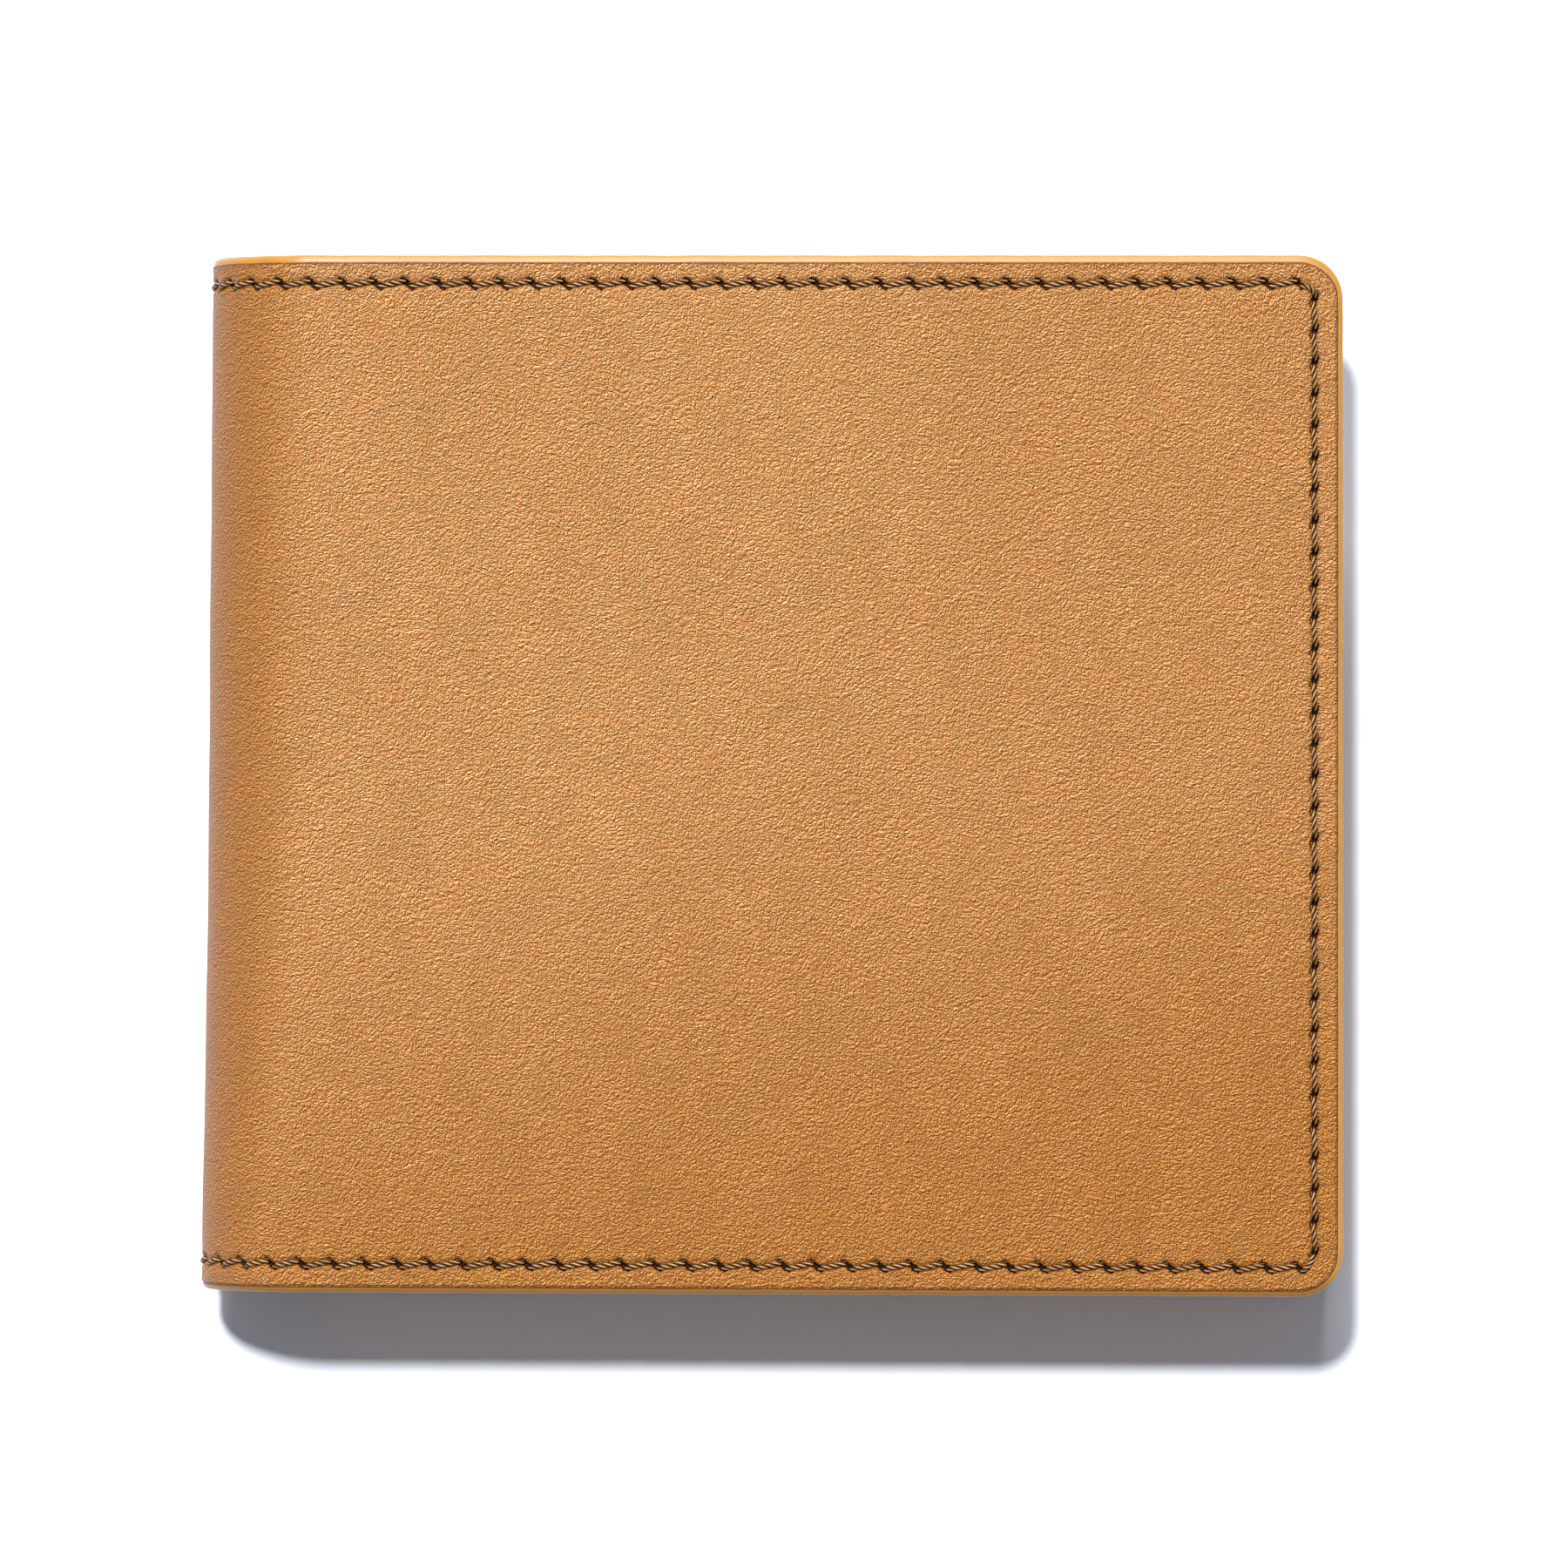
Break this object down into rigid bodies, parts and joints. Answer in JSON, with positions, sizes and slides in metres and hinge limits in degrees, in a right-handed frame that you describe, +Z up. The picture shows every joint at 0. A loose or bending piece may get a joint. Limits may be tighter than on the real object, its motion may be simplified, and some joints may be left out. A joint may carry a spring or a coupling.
{
  "type": "bifold wallet",
  "caption": "Leather bifold wallet that opens flat about a rounded spine, with a full-width note compartment and stepped card pockets inside each half.",
  "frame": {"origin": "on the surface that the closed wallet lies on, under the middle of its outline", "axes": "+X from the spine to the free edges, +Y towards the note compartment's open edge, +Z up through the closed wallet's thickness"},
  "size_m": [0.11, 0.1, 0.02],
  "materials": {
    "tan_leather": "grained tan outer leather with a soft sheen",
    "tan_interior_leather": "smooth matt tan leather",
    "cloth_lining": "fine woven brown cloth",
    "amber_edge": "leather edge with a smooth amber coat",
    "brown_thread": "three-ply waxed brown thread"
  },
  "bodies": {
    "back_half": {"back_cover_leather": "tan_leather", "back_cover_lining": "cloth_lining", "back_cover_thread": "brown_thread", "back_lining_thread": "brown_thread", "back_note_wall": "tan_interior_leather", "back_card_pocket_1": "tan_interior_leather", "back_card_pocket_2": "tan_interior_leather", "back_card_pocket_2_bottom_seam": "brown_thread", "back_card_pocket_3": "tan_interior_leather", "back_card_pocket_3_bottom_seam": "brown_thread", "back_card_pocket_4": "tan_interior_leather", "back_card_pocket_4_bottom_seam": "brown_thread", "back_stack_free_edge": "amber_edge", "back_stack_spine_edge": "amber_edge", "back_stack_bottom_edge": "amber_edge", "back_stack_thread": "brown_thread"},
    "spine_strip_1": {"spine_leather_1": "tan_leather", "spine_lining_1": "cloth_lining", "spine_thread_top_1": "brown_thread", "spine_thread_bottom_1": "brown_thread"},
    "spine_strip_2": {"spine_leather_2": "tan_leather", "spine_lining_2": "cloth_lining", "spine_thread_top_2": "brown_thread", "spine_thread_bottom_2": "brown_thread"},
    "spine_strip_3": {"spine_leather_3": "tan_leather", "spine_lining_3": "cloth_lining", "spine_thread_top_3": "brown_thread", "spine_thread_bottom_3": "brown_thread"},
    "spine_strip_4": {"spine_leather_4": "tan_leather", "spine_lining_4": "cloth_lining", "spine_thread_top_4": "brown_thread", "spine_thread_bottom_4": "brown_thread"},
    "spine_strip_5": {"spine_leather_5": "tan_leather", "spine_lining_5": "cloth_lining", "spine_thread_top_5": "brown_thread", "spine_thread_bottom_5": "brown_thread"},
    "front_half": {"front_cover_leather": "tan_leather", "front_cover_lining": "cloth_lining", "front_cover_thread": "brown_thread", "front_lining_thread": "brown_thread", "front_note_wall": "tan_interior_leather", "front_card_pocket_1": "tan_interior_leather", "front_card_pocket_2": "tan_interior_leather", "front_card_pocket_2_bottom_seam": "brown_thread", "front_card_pocket_3": "tan_interior_leather", "front_card_pocket_3_bottom_seam": "brown_thread", "front_card_pocket_4": "tan_interior_leather", "front_card_pocket_4_bottom_seam": "brown_thread", "front_stack_free_edge": "amber_edge", "front_stack_spine_edge": "amber_edge", "front_stack_bottom_edge": "amber_edge", "front_stack_thread": "brown_thread"}
  },
  "joints": [
    {"name": "fold_1", "type": "hinge", "parent": "back_half", "child": "spine_strip_1", "pos_m": [-0.04768, 0, 0], "axis": [0, -1, 0], "range_deg": [0, 30]},
    {"name": "fold_2", "type": "hinge", "parent": "spine_strip_1", "child": "spine_strip_2", "pos_m": [-0.05232, 0, 0.00268], "axis": [0, -1, 0], "range_deg": [0, 30]},
    {"name": "fold_3", "type": "hinge", "parent": "spine_strip_2", "child": "spine_strip_3", "pos_m": [-0.055, 0, 0.00732], "axis": [0, -1, 0], "range_deg": [0, 30]},
    {"name": "fold_4", "type": "hinge", "parent": "spine_strip_3", "child": "spine_strip_4", "pos_m": [-0.055, 0, 0.01268], "axis": [0, -1, 0], "range_deg": [0, 30]},
    {"name": "fold_5", "type": "hinge", "parent": "spine_strip_4", "child": "spine_strip_5", "pos_m": [-0.05232, 0, 0.01732], "axis": [0, -1, 0], "range_deg": [0, 30]},
    {"name": "fold_6", "type": "hinge", "parent": "spine_strip_5", "child": "front_half", "pos_m": [-0.04768, 0, 0.02], "axis": [0, -1, 0], "range_deg": [0, 30]}
  ],
  "couplings": [
    {"joint": "fold_2", "follows": "fold_1", "ratio": 1},
    {"joint": "fold_3", "follows": "fold_1", "ratio": 1},
    {"joint": "fold_4", "follows": "fold_1", "ratio": 1},
    {"joint": "fold_5", "follows": "fold_1", "ratio": 1},
    {"joint": "fold_6", "follows": "fold_1", "ratio": 1}
  ]
}
